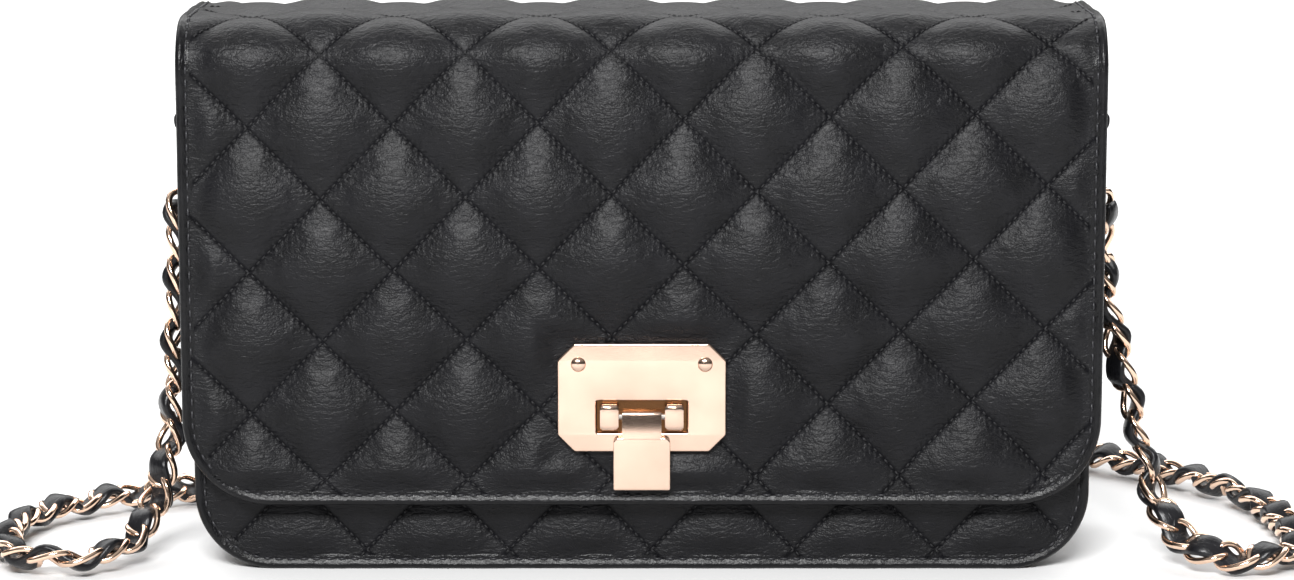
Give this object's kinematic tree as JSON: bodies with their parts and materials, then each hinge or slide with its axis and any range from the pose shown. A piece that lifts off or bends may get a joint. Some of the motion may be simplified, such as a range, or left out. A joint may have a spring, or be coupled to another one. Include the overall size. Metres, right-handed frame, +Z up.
{
  "type": "crossbody purse",
  "caption": "Quilted flap purse with a fold-over flap, a flip-tab lock plate, an inner zip pocket and a leather-laced chain strap on side D-rings.",
  "frame": {"origin": "middle of the base that the bag stands on, at the centre of the box round the bag without its strap", "axes": "+X to the right seen from the front, -Y out of the flap front, +Z up"},
  "size_m": [0.3414, 0.1806, 0.1401],
  "materials": {
    "leather": "soft satin faux leather, fine grain",
    "edge_leather": "smooth rolled binding, semi-gloss",
    "lining_cloth": "woven twill lining, matt",
    "stiffener": "pressed fibre board, matt",
    "gold": "polished pale rose gold plating",
    "dark_metal": "plain plated metal"
  },
  "bodies": {
    "bag": {"front_panel": "leather", "back_panel": "leather", "front_binding": "edge_leather", "back_binding": "edge_leather", "gusset_band": "leather", "front_board": "stiffener", "back_board": "stiffener", "base_board": "stiffener", "lining_front": "lining_cloth", "lining_gusset": "lining_cloth", "lining_back": "lining_cloth", "zip_pouch": "lining_cloth", "slip_pocket": "lining_cloth", "zip_tape_upper": "lining_cloth", "zip_tape_lower": "lining_cloth", "zip_teeth_upper": "dark_metal", "zip_teeth_lower": "dark_metal", "snap_socket": "dark_metal", "ring_tab_left": "leather", "ring_tab_right": "leather", "ring_rivet_left": "gold", "ring_rivet_right": "gold", "chain_strap": "leather"},
    "flap_top": {"flap_top_panel": "leather", "flap_top_lining": "lining_cloth", "flap_top_binding_left": "edge_leather", "flap_top_binding_right": "edge_leather"},
    "flap_front": {"flap_front_panel": "leather", "flap_front_board": "stiffener", "flap_front_lining": "lining_cloth", "flap_front_binding": "edge_leather", "lock_plate": "gold", "lock_backing_plate": "dark_metal", "lock_rivet_left": "gold", "lock_rivet_right": "gold", "lock_base": "gold", "lock_hinge_pin": "dark_metal", "snap_stud": "dark_metal"},
    "lock_tab": {"lock_tab": "gold"},
    "ring_left": {"d_ring_left": "gold", "end_link_left": "gold"},
    "ring_right": {"d_ring_right": "gold", "end_link_right": "gold"},
    "zip_slider": {"zip_slider": "dark_metal"},
    "zip_pull": {"zip_pull": "dark_metal"}
  },
  "joints": [
    {"name": "flap_lift", "type": "hinge", "parent": "bag", "child": "flap_top", "pos_m": [0, 0.0332, 0.127], "axis": [-1, 0, 0], "range_deg": [0, 110]},
    {"name": "flap_front_bend", "type": "hinge", "parent": "flap_top", "child": "flap_front", "pos_m": [0, -0.0297, 0.127], "axis": [-1, 0, 0], "range_deg": [0, 90]},
    {"name": "lock_tab_flip", "type": "hinge", "parent": "flap_front", "child": "lock_tab", "pos_m": [0, -0.0312, 0.041], "axis": [-1, 0, 0], "range_deg": [0, 110]},
    {"name": "ring_left_swing", "type": "hinge", "parent": "bag", "child": "ring_left", "pos_m": [-0.1156, 0, 0.112], "axis": [0, 1, 0], "range_deg": [0, 60]},
    {"name": "ring_right_swing", "type": "hinge", "parent": "bag", "child": "ring_right", "pos_m": [0.1156, 0, 0.112], "axis": [0, -1, 0], "range_deg": [0, 60]},
    {"name": "zip_slide", "type": "slide", "parent": "bag", "child": "zip_slider", "axis": [1, 0, 0], "range_m": [0, 0.12]},
    {"name": "zip_pull_swing", "type": "hinge", "parent": "zip_slider", "child": "zip_pull", "pos_m": [-0.067, 0.0229, 0.092], "axis": [0, 0, -1], "range_deg": [0, 80]}
  ]
}
